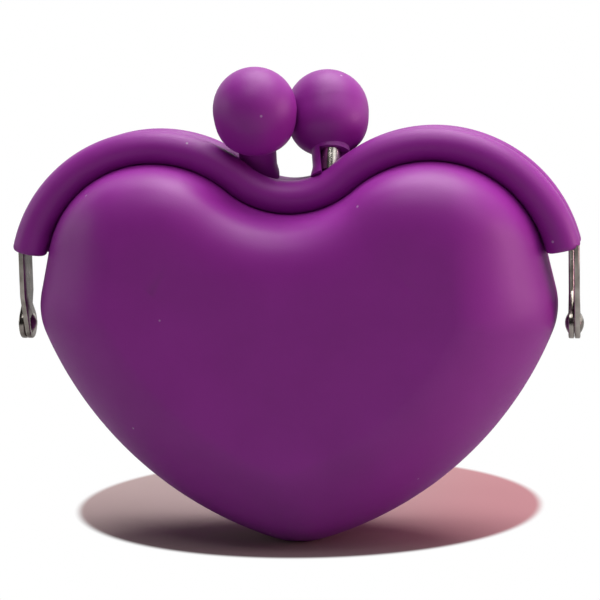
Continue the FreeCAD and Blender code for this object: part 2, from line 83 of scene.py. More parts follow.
# Rim path and pouch outline seen from the front, as in the part's source
LOBE_X = 25.3
LOBE_Z = HINGE_Z + 8.5
PATH_RADIUS = 24.1
VALLEY_DEPTH = 9.3
SEAT = 0.1
CHEEK_RADIUS = 12.8
CHEEK_PAST_LOBE = 1.55
CHEEK_Z = HINGE_Z + 3.4
SIDE_RADIUS = 67.0
TIP_RADIUS = 14.6
FOOT_CUT = 0.7
TIP_Z = TIP_RADIUS - FOOT_CUT
MIDDLE_Z = 29.0
RIM_END_ANGLE = math.radians(12)

# Pouch wall and how it rounds from its outline to its front:
# full along the valley, rounder at the lobes' tops and softer below their shoulders
WALL = 1.9
EDGE_REACH = 20.0
EDGE_FULLNESS = 4.5
TOP_FULLNESS = 3.8
TOP_START = 0.4
LOW_REACH = 17.0
LOW_FULLNESS = 1.7
CORNER_SHARE = 0.5
SHOULDER_ANGLE = math.radians(80)
RIM_TUCK = 0.5
TUCK_FADE = (0.2, 0.45)
MOUTH_GAP = 0.22
MOUTH_FADE = (HINGE_Z - 0.5, HINGE_Z + 7)
LIP_ROUNDING = 0.4
LIP_CORNER = 0.29
LIP_CLEARANCE = 0.05
SEAM_ROUNDING = 0.05

# Dents of the wall: their depth, their waves in radians per millimetre, and the distances from the seam
# between which they set in
BROAD_DENT = 0.05
BROAD_WAVES = (0.13, 0.17)
BROAD_START = (0.4, 1.1)
NARROW_DENT = 0.02
NARROW_WAVES = (0.31, 0.23)
DENT_FADE = (2, 8)

# Angles of the wall's rings in degrees, from its outline to its front, and how many rings close the front
WALL_TURNS = np.concatenate([np.linspace(3, 75, 19), np.linspace(78, 90, 6)])
FRONT_RINGS = 9

# Silicone rims
RIM_END_ROUNDING = 0.8
RIM_END_STEPS = 7
RIM_STEPS = 150
RIM_SECTION_STEPS = 28
RIM_SHARP = 50

# Steel strip
STRIP_OFFSET = 1.2
STRIP_THICKNESS = 1.0
STRIP_WIDTH = 3.6
STRIP_ROUNDING = 0.22
CORNER_STEPS = 4
BEVEL_STEPS = 3
STRIP_STEPS = 120
STRIP_SHARP = 40
EAR_STEP = 0.55
EAR_RADIUS = 2.8
EAR_STEPS = 25
EAR_TOP = HINGE_Z + 5.6
ARM_LENGTH = 9.0
RIVET_HOLE = 1.05
HOLE_STEPS = 32

# Ball covers: soft balls that touch each other, as far from their solids' places as the photograph shows
STEM_RADIUS = 1.65
NECK_ACROSS = 3.4
NECK_DEEP = 3.0
POST_FOOT_Z = 66.4
BALL_PROUD = 0.38
BALL_SAG = 0.9
SAG_ANGLES = (95, 140)
BALL_END_ANGLE = 152
BALL_RINGS = 44
BALL_STEPS = 48
BALL_SHARP = 45
NECK_BELOW_BALL = 8.0
NECK_ABOVE_FOOT = 1.0
NECK_RINGS = 14
NECK_SOFTNESS = 0.7
NECK_FLARE = 0.6
FLARE_HEIGHTS = (3.4, 0.8)
PRESS_GAP = 0.02
PRESS_SOFTNESS = 0.12
RIM_CLEARANCE = 0.08
RIM_SAMPLES = 400
SPLIT_TOP = 5.8
SPLIT_SIZE = 6.0
SPLIT_GAP = 0.1
FOOT_SHIFT = {-1: 0.5, 1: -0.5}
BALL_LEAN = {-1: np.array([-1.27, 1.9, -0.6]), 1: np.array([-1.26, 1.9, 0.36])}

VALLEY_RISE = PATH_RADIUS - VALLEY_DEPTH
VALLEY_PATH_RADIUS = (LOBE_X ** 2 + VALLEY_RISE ** 2 - PATH_RADIUS ** 2) / (2 * VALLEY_DEPTH)
VALLEY_Z = LOBE_Z + VALLEY_RISE + VALLEY_PATH_RADIUS
LOBE_RADIUS = PATH_RADIUS - RIM_RADIUS - SEAT

LOBE = np.array([LOBE_X, LOBE_Z])
VALLEY = np.array([0.0, VALLEY_Z])
CHEEK = np.array([LOBE_X + LOBE_RADIUS + CHEEK_PAST_LOBE - CHEEK_RADIUS, CHEEK_Z])
TIP = np.array([0.0, TIP_Z])
MIDDLE = np.array([0.0, MIDDLE_Z])

# Points on each arc and line of the pouch's outline, from the valley to the tip
RING_STEPS = (14, 20, 30, 6, 16, 40, 14)

# Points to each side over which the wall's zones are evened out, and the heights between which that sets in
EVEN_SPAN = 7
EVEN_FADE = (HINGE_Z - 10, HINGE_Z + 5)


# Outlines made of arcs and lines

def bearing(start, end):
    return math.atan2(end[1] - start[1], end[0] - start[0])


def around(centre, radius, angle):
    return centre + radius * np.array([math.cos(angle), math.sin(angle)])


def side_centre(cheek, cheek_radius, tip, tip_radius, side_radius):
    """Centre of the large arc that touches the cheek and the tip from outside."""
    reach = side_radius - cheek_radius
    other = side_radius - tip_radius
    apart = np.linalg.norm(tip - cheek)
    along = (reach ** 2 - other ** 2 + apart ** 2) / (2 * apart)
    across = math.sqrt(reach ** 2 - along ** 2)
    ahead = (tip - cheek) / apart
    return cheek + ahead * along + np.array([ahead[1], -ahead[0]]) * across


def trail_length(trail):
    return sum(piece["length"] for piece in trail)


def arc(centre, radius, start, end, outward=1):
    """An arc of a trail, whose normal points away from its centre or towards it."""
    return {"centre": centre, "radius": radius, "start": start, "end": end, "outward": outward,
            "length": abs(end - start) * radius}


def line(start, end, normal_angle):
    return {"from": start, "to": end, "normal": np.array([math.cos(normal_angle), math.sin(normal_angle)]),
            "length": np.linalg.norm(end - start)}


def trail_at(trail, distances):
    """Points and outward normals of a trail at distances from its start."""
    points, normals = [], []
    for distance in distances:
        rest = distance
        for number, piece in enumerate(trail):
            if rest <= piece["length"] or number == len(trail) - 1:
                break
            rest -= piece["length"]
        share = rest / piece["length"]
        if "centre" in piece:
            angle = piece["start"] + (piece["end"] - piece["start"]) * share
            spoke = np.array([math.cos(angle), math.sin(angle)])
            points.append(piece["centre"] + piece["radius"] * spoke)
            normals.append(piece["outward"] * spoke)
        else:
            points.append(piece["from"] + (piece["to"] - piece["from"]) * share)
            normals.append(piece["normal"])
    return np.array(points), np.array(normals)


def heart_trail(edge_inset, low_inset):
    """Right half of the pouch's outline from the valley to the tip, drawn in along the lobe and below it."""
    lobe_radius = LOBE_RADIUS - edge_inset
    tighter = (low_inset - edge_inset) / (1 - math.cos(SHOULDER_ANGLE))
    shoulder, shoulder_radius = around(LOBE, tighter, SHOULDER_ANGLE), lobe_radius - tighter
    cut, shift = CORNER_SHARE * low_inset, (1 - CORNER_SHARE) * low_inset
    cheek, cheek_radius = CHEEK - np.array([shift, 0]), CHEEK_RADIUS - cut
    tip, tip_radius = TIP + np.array([0, shift]), TIP_RADIUS - cut
    side_radius = SIDE_RADIUS - low_inset
    side = side_centre(cheek, cheek_radius, tip, tip_radius, side_radius)
    narrowing = (shoulder_radius - cheek_radius) / np.linalg.norm(cheek - shoulder)
    flank = bearing(shoulder, cheek) + math.acos(narrowing)
    to_lobe, to_cheek, to_tip = bearing(VALLEY, LOBE), bearing(side, cheek), bearing(side, tip)
    return [
        arc(VALLEY, np.linalg.norm(VALLEY - LOBE) - lobe_radius, -math.pi / 2, to_lobe, -1),
        arc(LOBE, lobe_radius, to_lobe + math.pi, SHOULDER_ANGLE),
        arc(shoulder, shoulder_radius, SHOULDER_ANGLE, flank),
        line(around(shoulder, shoulder_radius, flank), around(cheek, cheek_radius, flank), flank),
        arc(cheek, cheek_radius, flank, to_cheek),
        arc(side, side_radius, to_cheek, to_tip),
        arc(tip, tip_radius, to_tip, -math.pi / 2),
    ]


def heart_ring(edge_inset, low_inset):
    """Points and outward normals of the whole drawn-in outline, clockwise from the valley."""
    points, normals = [], []
    trail = heart_trail(edge_inset, low_inset)
    for piece, count in zip(trail, RING_STEPS):
        places, ways = trail_at([piece], np.linspace(0, piece["length"], count, endpoint=False))
        points.extend(places)
        normals.extend(ways)
    last, way = trail_at(trail[-1:], [trail[-1]["length"]])
    points, normals = np.vstack([points, last]), np.vstack([normals, way])
    flip = np.array([-1, 1])
    return np.vstack([points, (points * flip)[-2:0:-1]]), np.vstack([normals, (normals * flip)[-2:0:-1]])


def frame_trail(offset):
    """A path beside the rim's, round both lobes and the valley, from the right end to the left end."""
    left = LOBE * np.array([-1, 1])
    to_lobe = bearing(VALLEY, LOBE)
    return [
        arc(LOBE, PATH_RADIUS + offset, RIM_END_ANGLE, to_lobe + math.pi),
        arc(VALLEY, VALLEY_PATH_RADIUS - offset, to_lobe, -math.pi - to_lobe, -1),
        arc(left, PATH_RADIUS + offset, -to_lobe, math.pi - RIM_END_ANGLE),
    ]


# Mesh helpers

def smoothstep(low, high, values):
    share = np.clip((values - low) / (high - low), 0, 1)
    return share * share * (3 - 2 * share)


def soft_max(first, second, softness):
    return (first + second + np.sqrt((first - second) ** 2 + softness ** 2)) / 2


def mesh_piece(name, points, faces, sharp_angle=None):
    """A smooth-shaded mesh object from points in millimetres."""
    mesh = bpy.data.meshes.new(name)
    mesh.from_pydata([tuple(point * MM) for point in points], [], faces)
    mesh.validate()
    piece = bpy.data.objects.new(name, mesh)
    bpy.context.scene.collection.objects.link(piece)
    finish_mesh(piece, sharp_angle)
    return piece


def finish_mesh(piece, sharp_angle):
    """Outward normals, smooth shading and sharp edges above an angle in degrees."""
    grid = bmesh.new()
    grid.from_mesh(piece.data)
    bmesh.ops.recalc_face_normals(grid, faces=grid.faces)
    grid.to_mesh(piece.data)
    grid.free()
    piece.data.shade_smooth()
    if sharp_angle:
        piece.data.set_sharp_from_angle(angle=math.radians(sharp_angle))


def ring_faces(rows, count):
    """Quads between rings of points that follow each other."""
    faces = []
    for row in range(rows - 1):
        low, high = row * count, (row + 1) * count
        for here in range(count):
            there = (here + 1) % count
            faces.append((low + here, low + there, high + there, high + here))
    return faces


def fan_faces(first, count, centre):
    """Triangles from a ring to a centre point."""
    return [(first + here, first + (here + 1) % count, centre) for here in range(count)]


def pointed_faces(rows, count):
    """Faces of rings that end in a centre point at each end, with the two centres after the rings."""
    first_end = fan_faces(0, count, rows * count)
    last_end = fan_faces((rows - 1) * count, count, rows * count + 1)
    return ring_faces(rows, count) + first_end + last_end


def flat_ended_faces(rows, count):
    """Faces of rings that end in a flat face at each end."""
    first_end = tuple(range(count))[::-1]
    last_end = tuple(range((rows - 1) * count, rows * count))
    return ring_faces(rows, count) + [first_end, last_end]


def half_turn(points, side):
    """Points of a front piece, turned to the rear side if asked."""
    if side > 0:
        return points * np.array([-1, -1, 1])
    return points


# The pouch's two walls

def drawn_in(rise, reach, fullness):
    """How far the pouch's surface lies inside its outline where it has risen to a share of its depth."""
    return reach * (1 - (1 - rise ** fullness) ** (1 / fullness))


def unevenness(x, z):
    """Small dents of a soft moulding, in millimetres."""
    broad = np.sin(BROAD_WAVES[0] * x + BROAD_START[0]) * np.sin(BROAD_WAVES[1] * z + BROAD_START[1])
    narrow = np.sin(NARROW_WAVES[0] * x + NARROW_WAVES[1] * z)
    return BROAD_DENT * broad + NARROW_DENT * narrow


def top_share():
    """Share of the lobes' rounder tops at each point of the outline's ring, from 0 in the valley."""
    rising = smoothstep(TOP_START, 1, np.linspace(0, 1, RING_STEPS[1]))
    right = np.concatenate([np.zeros(RING_STEPS[0]), rising, np.ones(sum(RING_STEPS[2:]) + 1)])
    return np.concatenate([right, right[-2:0:-1]])[:, None]


def evened(insets):
    """Insets of a ring's points, evened out along the ring so that zones flow into each other."""
    weights = np.hanning(2 * EVEN_SPAN + 3)[1:-1]
    shifts = range(-EVEN_SPAN, EVEN_SPAN + 1)
    total = sum(weight * np.roll(insets, shift, axis=0) for weight, shift in zip(weights, shifts))
    return total / weights.sum()


def wall_grid(inside):
    """Rings of the pouch's outer surface, or of one inside it, from the outline to near the middle."""
    grid = []
    share = top_share()
    outline, _ = heart_ring(inside, inside)
    upper = smoothstep(*EVEN_FADE, outline[:, 1:])
    for turn in WALL_TURNS:
        rise = math.sin(math.radians(turn))
        start = inside - RIM_TUCK * (1 - smoothstep(*TUCK_FADE, rise))
        low_inset = inside + drawn_in(rise, LOW_REACH - inside, LOW_FULLNESS)
        in_valley, _ = heart_ring(start + drawn_in(rise, EDGE_REACH - inside, EDGE_FULLNESS), low_inset)
        at_top, _ = heart_ring(start + drawn_in(rise, EDGE_REACH - inside, TOP_FULLNESS), low_inset)
        inset = in_valley + (at_top - in_valley) * share - outline
        ring = outline + inset + (evened(inset) - inset) * upper
        grid.append(np.insert(ring, 1, (HALF_DEPTH - inside) * rise, axis=1))
    front_middle = np.insert(MIDDLE, 1, HALF_DEPTH - inside)
    last = grid[-1]
    for size in np.linspace(1, 0, FRONT_RINGS)[1:-1]:
        grid.append(front_middle + (last - front_middle) * size)
    grid = np.array(grid)
    grid[:, :, 1] += unevenness(grid[:, :, 0], grid[:, :, 2]) * smoothstep(*DENT_FADE, grid[:, :, 1])
    return grid


def pouch_wall(name, side):
    """One wall of the pouch with its inner face and its rounded lip, for the front or the rear side."""
    outer, inner = wall_grid(0), wall_grid(WALL)
    points, outline_normals = heart_ring(-RIM_TUCK, 0)
    count = len(points)
    open_share = smoothstep(*MOUTH_FADE, points[:, 1])
    gap = MOUTH_GAP * open_share
    rounding = SEAM_ROUNDING + (LIP_ROUNDING - SEAM_ROUNDING) * open_share

    def lip_row(inset, depth):
        row = points - np.asarray(inset)[..., None] * outline_normals
        return np.column_stack([row[:, 0], depth, row[:, 1]])

    lip = [
        lip_row(np.full(count, WALL), gap),
        lip_row(rounding, gap),
        lip_row(LIP_CORNER * rounding, gap + LIP_CORNER * rounding),
        lip_row(np.zeros(count), gap + rounding),
    ]
    inner[:, :, 1] = np.maximum(inner[:, :, 1], gap[None, :] + LIP_CLEARANCE)
    rows = np.vstack([inner[::-1], np.array(lip), outer])
    flat_rows = rows.reshape(-1, 3)
    flat_rows[:, 1] *= side
    flat_rows[:, 2] = np.maximum(flat_rows[:, 2], 0)
    poles = [np.insert(MIDDLE, 1, side * grid[-1, :, 1].mean()) for grid in (inner, outer)]
    return mesh_piece(name, np.vstack([flat_rows, poles]), pointed_faces(len(rows), count))


# Rims, strips and balls

def swept(path, normals, y, section, scale=None):
    """Rings of a section along a flat path: the section's first axis follows the path's normal."""
    rings = []
    for number, (point, normal) in enumerate(zip(path, normals)):
        size = 1 if scale is None else scale[number]
        for across, deep in section * size:
            rings.append((point[0] + normal[0] * across, y + deep, point[1] + normal[1] * across))
    return np.array(rings)


def rim_bead(name, side):
    """A silicone bead along the mouth of one half, rounded at its ends."""
    trail = frame_trail(0)
    length = trail_length(trail)
    rounding = RIM_END_ROUNDING
    ease = rounding * (1 - np.cos(np.linspace(0, math.pi / 2, RIM_END_STEPS)))
    middle = np.linspace(rounding, length - rounding, RIM_STEPS)[1:-1]
    distances = np.concatenate([ease, middle, length - ease[::-1]])
    near = np.minimum(np.minimum(distances, length - distances), rounding)
    scale = (RIM_RADIUS - rounding + np.sqrt(rounding ** 2 - (rounding - near) ** 2)) / RIM_RADIUS
    path, normals = trail_at(trail, distances)
    turns = np.linspace(0, 2 * math.pi, RIM_SECTION_STEPS, endpoint=False)
    section = RIM_RADIUS * np.column_stack([np.cos(turns), np.sin(turns)])
    rings = swept(path, normals, RIM_Y, section, scale)
    ends = [np.insert(end, 1, RIM_Y) for end in (path[0], path[-1])]
    faces = pointed_faces(len(path), len(section))
    return mesh_piece(name, half_turn(np.vstack([rings, ends]), side), faces, RIM_SHARP)


def rounded_section(width, height, rounding):
    """A rectangle with rounded corners, as rows of two numbers."""
    rows = []
    for number, corner in enumerate(((1, 1), (-1, 1), (-1, -1), (1, -1))):
        centre = np.array(corner) * (np.array([width, height]) / 2 - rounding)
        for turn in np.linspace(0, math.pi / 2, CORNER_STEPS):
            angle = turn + number * math.pi / 2
            rows.append(centre + rounding * np.array([math.cos(angle), math.sin(angle)]))
    return np.array(rows)


def ear_outline():
    """Outline of the ear plate under an arm, as rows of Y and Z."""
    pin = np.array([0.0, HINGE_Z])
    front = np.array([RIM_Y - STRIP_WIDTH / 2, EAR_TOP])
    back = np.array([RIM_Y + STRIP_WIDTH / 2, EAR_TOP])
    front_angle = bearing(pin, front) + math.acos(EAR_RADIUS / np.linalg.norm(front - pin))
    back_angle = bearing(pin, back) - math.acos(EAR_RADIUS / np.linalg.norm(back - pin)) + 2 * math.pi
    disc = [around(pin, EAR_RADIUS, angle) for angle in np.linspace(front_angle, back_angle, EAR_STEPS)]
    arm = np.array([0.0, ARM_LENGTH])
    return np.array([front + arm, front] + disc + [back, back + arm])


def cut_out(piece, tool):
    """Cuts another mesh out of a piece, and takes the other mesh away."""
    cut = piece.modifiers.new("cut", "BOOLEAN")
    cut.operation = "DIFFERENCE"
    cut.object = tool
    cut.solver = "EXACT"
    evaluated = piece.evaluated_get(bpy.context.evaluated_depsgraph_get())
    remaining = bpy.data.meshes.new_from_object(evaluated)
    piece.modifiers.remove(cut)
    piece.data = remaining
    bpy.data.objects.remove(tool)


def rivet_hole(x):
    """A rod along the hinge axis that cuts the rivet's hole out of an ear."""
    turns = np.linspace(0, 2 * math.pi, HOLE_STEPS, endpoint=False)
    rim = RIVET_HOLE * np.column_stack([np.zeros(HOLE_STEPS), np.cos(turns), np.sin(turns)])
    ends = [rim + np.array([x + side * STRIP_THICKNESS, 0, HINGE_Z]) for side in (-1, 1)]
    return mesh_piece("rivet_hole", np.vstack(ends), flat_ended_faces(len(ends), HOLE_STEPS))


def ear_plate(outline, x):
    """An arm and ear of the strip's thickness, upright across the hinge axis, with the rivet's hole."""
    low = x - STRIP_THICKNESS / 2
    grid = bmesh.new()
    corners = [grid.verts.new((low * MM, y * MM, z * MM)) for y, z in outline]
    face = grid.faces.new(corners)
    raised = bmesh.ops.extrude_face_region(grid, geom=[face])
    lifted = [item for item in raised["geom"] if isinstance(item, bmesh.types.BMVert)]
    bmesh.ops.translate(grid, verts=lifted, vec=(STRIP_THICKNESS * MM, 0, 0))
    caps = [face] + [item for item in raised["geom"] if isinstance(item, bmesh.types.BMFace)]
    edges = list(dict.fromkeys(edge for cap in caps for edge in cap.edges))
    bmesh.ops.bevel(
        grid, geom=edges, offset=STRIP_ROUNDING * MM, segments=BEVEL_STEPS, affect="EDGES", profile=0.5)
    bmesh.ops.recalc_face_normals(grid, faces=grid.faces)
    plate = mesh_piece("ear_plate", np.zeros((0, 3)), [])
    grid.to_mesh(plate.data)
    grid.free()
    cut_out(plate, rivet_hole(x))
    return plate


def frame_strip(name, side):
    """The pressed steel strip of one half: a band inside the rim, and an arm with an ear at each end."""
    trail = frame_trail(STRIP_OFFSET)
    path, normals = trail_at(trail, np.linspace(0, trail_length(trail), STRIP_STEPS))
    section = rounded_section(STRIP_THICKNESS, STRIP_WIDTH, STRIP_ROUNDING)
    rings = swept(path + np.array([EAR_STEP, 0]), normals, RIM_Y, section)
    piece = mesh_piece(name, rings, flat_ended_faces(len(path), len(section)))
    grid = bmesh.new()
    grid.from_mesh(piece.data)
    reach = LOBE_X + (PATH_RADIUS + STRIP_OFFSET)
    for x in (reach + EAR_STEP, EAR_STEP - reach):
        plate = ear_plate(ear_outline(), x)
        grid.from_mesh(plate.data)
        bpy.data.objects.remove(plate)
    if side > 0:
        bmesh.ops.rotate(grid, verts=grid.verts, matrix=Matrix.Rotation(math.pi, 3, "Z"))
    grid.to_mesh(piece.data)
    grid.free()
    finish_mesh(piece, STRIP_SHARP)
    return piece


def ball_place(side):
    """Centre of a ball, before a rear one is turned to its side."""
    return BALL_CENTRE + BALL_LEAN[side]


def cover_rings(foot, axis, across, deep, length):
    """Rings of a ball that sags towards its neck, from its top to the neck's foot."""
    polar = np.radians(np.linspace(0, BALL_END_ANGLE, BALL_RINGS)[1:])
    radius = BALL_RADIUS + BALL_PROUD + BALL_SAG * smoothstep(*SAG_ANGLES, np.degrees(polar))
    neck_heights = np.linspace(length - NECK_BELOW_BALL, NECK_ABOVE_FOOT, NECK_RINGS)
    heights = np.concatenate([length + radius * np.cos(polar), neck_heights])
    ball = np.concatenate([radius * np.sin(polar), np.zeros(NECK_RINGS)])
    flare = NECK_FLARE * smoothstep(*FLARE_HEIGHTS, heights)
    below = heights < length
    wide = np.where(below, soft_max(ball, NECK_ACROSS + flare, NECK_SOFTNESS), ball)
    thick = np.where(below, soft_max(ball, NECK_DEEP, NECK_SOFTNESS), ball)
    turns = np.linspace(0, 2 * math.pi, BALL_STEPS, endpoint=False)
    rings = []
    for height, half_wide, half_thick in zip(heights, wide, thick):
        sideways = np.outer(half_wide * np.cos(turns), across)
        depthways = np.outer(half_thick * np.sin(turns), deep)
        rings.append(foot + axis * height + (sideways + depthways))
    return rings


def pressed(points, side):
    """Points of a ball, flattened a little where it touches the other ball."""
    here, other = ball_place(side), half_turn(ball_place(-side), 1)
    way = (other - here) / np.linalg.norm(other - here)
    reach = np.linalg.norm(other - here) / 2 - PRESS_GAP
    beyond = (points - here) @ way
    kept = reach - soft_max(reach - beyond, 0, PRESS_SOFTNESS)
    return points - np.outer(beyond - kept, way)


def cleared(points):
    """Points of a ball and neck, moved to the surface of the other half's rim where they would lie in it."""
    trail = frame_trail(0)
    path, _ = trail_at(trail, np.linspace(0, trail_length(trail), RIM_SAMPLES))
    apart = points[:, None, :] - np.insert(path, 1, -RIM_Y, axis=1)[None, :, :]
    nearest = np.linalg.norm(apart, axis=2).argmin(axis=1)
    outward = apart[np.arange(len(points)), nearest]
    distance = np.linalg.norm(outward, axis=1, keepdims=True)
    return points + outward / distance * np.maximum(RIM_RADIUS + RIM_CLEARANCE - distance, 0)


def ball_cover(name, side):
    """A silicone ball and neck over its post, with a split in the neck that shows the stem."""
    foot = np.array([BALL_CENTRE[0] + FOOT_SHIFT[side], RIM_Y, POST_FOOT_Z])
    axis = ball_place(side) - foot
    length = np.linalg.norm(axis)
    axis /= length
    deep = np.cross(axis, np.array([1.0, 0.0, 0.0]))
    deep /= np.linalg.norm(deep)
    rings = cover_rings(foot, axis, np.cross(deep, axis), deep, length)
    ends = [foot + axis * (length + BALL_RADIUS + BALL_PROUD), foot + axis * NECK_ABOVE_FOOT]
    points = cleared(pressed(np.vstack(rings + [np.array(ends)]), side))
    piece = mesh_piece(name, points, pointed_faces(len(rings), BALL_STEPS))
    split_neck(piece, foot, axis, deep)
    if side > 0:
        piece.data.transform(Matrix.Rotation(math.pi, 4, "Z"))
    finish_mesh(piece, BALL_SHARP)
    return piece


def split_neck(piece, foot, axis, deep):
    """Cuts the split that shows the stem out of the front of a neck."""
    edge = -STEM_RADIUS - SPLIT_GAP
    corners = []
    for across, depth in ((edge, 0.0), (SPLIT_SIZE, 0.0), (SPLIT_SIZE, -SPLIT_SIZE), (edge, -SPLIT_SIZE)):
        for height in (0.0, SPLIT_TOP):
            corners.append(foot + axis * height + np.array([across, 0, 0]) + deep * depth)
    faces = [(0, 2, 3, 1), (2, 4, 5, 3), (4, 6, 7, 5), (6, 0, 1, 7), (0, 6, 4, 2), (1, 3, 5, 7)]
    cut_out(piece, mesh_piece("neck_cutter", np.array(corners), faces))


# Materials: colours in linear light, noises as scale per metre and detail, bumps as strength and metres
SILICONE_DARK = (0.300, 0.015, 0.312)
SILICONE_LIGHT = (0.330, 0.018, 0.344)
SILICONE_ROUGHNESS = (0.44, 0.52)
MOTTLE_NOISE = (90, 3)
MOTTLE_EDGE = (0.3, 0.7)
SATIN_NOISE = (700, 4)
WAVE_NOISE = (160, 2)
WAVE_BUMP = (0.04, 0.0004)
GRAIN_NOISE = (4200, 2)
GRAIN_BUMP = (0.08, 0.0002)
LINT_COLOUR = (0.50, 0.30, 0.52)
LINT_SCALE = 130
LINT_EDGE = (0.022, 0.034)
GLOW_SHARE = 0.08
GLOW_COLOUR = (1.0, 0.25, 0.8)
GLOW_DEPTH = 0.002
NICKEL_DULL = (0.26, 0.23, 0.20)
NICKEL_BRIGHT = (0.68, 0.64, 0.58)
NICKEL_ROUGHNESS = (0.12, 0.34)
PATCH_NOISE = (260, 4)
PATCH_EDGE = (0.35, 0.70)
SCRATCH_NOISE = (5200, 3)
SCRATCH_BUMP = (0.12, 0.0001)
SCRATCH_STRETCH = (1, 1, 0.06)
BLACK = (0, 0, 0)
WHITE = (1, 1, 1)


def material(name):
    """A new node material with its tree, its surface shader and the coordinates of the object."""
    made = bpy.data.materials.new(name)
    made.use_nodes = True
    tree = made.node_tree
    return made, tree, tree.nodes["Principled BSDF"], tree.nodes.new("ShaderNodeTexCoord").outputs["Object"]


def noise(tree, place, scale, detail):
    node = tree.nodes.new("ShaderNodeTexNoise")
    node.inputs["Scale"].default_value = scale
    node.inputs["Detail"].default_value = detail
    tree.links.new(place, node.inputs["Vector"])
    return node.outputs["Fac"]


def ramp(tree, value, first, second):
    """A colour ramp between two stops, each a position and a colour."""
    node = tree.nodes.new("ShaderNodeValToRGB")
    for element, (position, colour) in zip(node.color_ramp.elements, (first, second)):
        element.position = position
        element.color = (*colour, 1)
    tree.links.new(value, node.inputs["Fac"])
    return node.outputs["Color"]


def spread(tree, value, low, high):
    """A value from 0 to 1 taken to another range."""
    node = tree.nodes.new("ShaderNodeMapRange")
    node.inputs["To Min"].default_value = low
    node.inputs["To Max"].default_value = high
    tree.links.new(value, node.inputs["Value"])
    return node.outputs["Result"]


def between(tree, value, low, high):
    """A smooth step from 0 to 1 as a value goes from low to high."""
    node = tree.nodes.new("ShaderNodeMapRange")
    node.interpolation_type = "SMOOTHSTEP"
    node.inputs["From Min"].default_value = low
    node.inputs["From Max"].default_value = high
    tree.links.new(value, node.inputs["Value"])
    return node.outputs["Result"]


def mixed(tree, share, first, second):
    node = tree.nodes.new("ShaderNodeMix")
    node.data_type = "RGBA"
    tree.links.new(share, node.inputs["Factor"])
    for socket, colour in ((node.inputs["A"], first), (node.inputs["B"], second)):
        if isinstance(colour, tuple):
            socket.default_value = (*colour, 1)
        else:
            tree.links.new(colour, socket)
    return node.outputs["Result"]


def bump(tree, height, strength, distance, below=None):
    node = tree.nodes.new("ShaderNodeBump")
    node.inputs["Strength"].default_value = strength
    node.inputs["Distance"].default_value = distance
    tree.links.new(height, node.inputs["Height"])
    if below:
        tree.links.new(below, node.inputs["Normal"])
    return node.outputs["Normal"]


def silicone():
    """Satin purple silicone with faint mottling, a fine grain and a few specks of lint."""
    made, tree, shader, place = material("purple_silicone")
    mottle = noise(tree, place, *MOTTLE_NOISE)
    body = ramp(tree, mottle, (MOTTLE_EDGE[0], SILICONE_DARK), (MOTTLE_EDGE[1], SILICONE_LIGHT))
    cells = tree.nodes.new("ShaderNodeTexVoronoi")
    cells.inputs["Scale"].default_value = LINT_SCALE
    tree.links.new(place, cells.inputs["Vector"])
    speck = ramp(tree, cells.outputs["Distance"], (LINT_EDGE[0], WHITE), (LINT_EDGE[1], BLACK))
    tree.links.new(mixed(tree, speck, body, LINT_COLOUR), shader.inputs["Base Color"])
    satin = noise(tree, place, *SATIN_NOISE)
    tree.links.new(spread(tree, satin, *SILICONE_ROUGHNESS), shader.inputs["Roughness"])
    shader.inputs["Subsurface Weight"].default_value = GLOW_SHARE
    shader.inputs["Subsurface Radius"].default_value = GLOW_COLOUR
    shader.inputs["Subsurface Scale"].default_value = GLOW_DEPTH
    waves = bump(tree, noise(tree, place, *WAVE_NOISE), *WAVE_BUMP)
    grain = bump(tree, noise(tree, place, *GRAIN_NOISE), *GRAIN_BUMP, waves)
    tree.links.new(grain, shader.inputs["Normal"])
    return made


def nickel():
    """Nickel-plated steel with fine scratches and dull patches."""
    made, tree, shader, place = material("nickel_steel")
    patches = noise(tree, place, *PATCH_NOISE)
    tone = ramp(tree, patches, (PATCH_EDGE[0], NICKEL_DULL), (PATCH_EDGE[1], NICKEL_BRIGHT))
    tree.links.new(tone, shader.inputs["Base Color"])
    shader.inputs["Metallic"].default_value = 1.0
    stretch = tree.nodes.new("ShaderNodeMapping")
    stretch.inputs["Scale"].default_value = SCRATCH_STRETCH
    tree.links.new(place, stretch.inputs["Vector"])
    scratches = noise(tree, stretch.outputs["Vector"], *SCRATCH_NOISE)
    tree.links.new(spread(tree, patches, *NICKEL_ROUGHNESS), shader.inputs["Roughness"])
    tree.links.new(bump(tree, scratches, *SCRATCH_BUMP), shader.inputs["Normal"])
    return made


def paint(piece, finish):
    piece.data.materials.clear()
    piece.data.materials.append(finish)


# Pieces on their bodies

SILICONE = silicone()
NICKEL = nickel()


def soft_piece(piece, *nodes):
    paint(piece, SILICONE)
    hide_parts(*nodes)
    return piece


def build_half(half, side):
    """All pieces of the front or the rear half."""
    body = f"{half}_half"
    wall = soft_piece(pouch_wall(f"{half}_wall", side), "pouch_bowl", f"{half}_fold", f"{half}_panel")
    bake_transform(wall)
    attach(soft_piece(rim_bead(f"{half}_rim", side), f"{half}_rim_sleeve"), body)
    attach(soft_piece(ball_cover(f"{half}_ball", side), f"{half}_ball_cover"), body)
    strip = frame_strip(f"{half}_strip", side)
    paint(strip, NICKEL)
    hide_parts(f"{half}_frame_strip")
    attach(strip, body)


build_half("front", -1)
build_half("rear", 1)
for node in ("front_ball_post", "rear_ball_post", "right_hinge_rivet", "left_hinge_rivet"):
    paint(frame["nodes"][node], NICKEL)


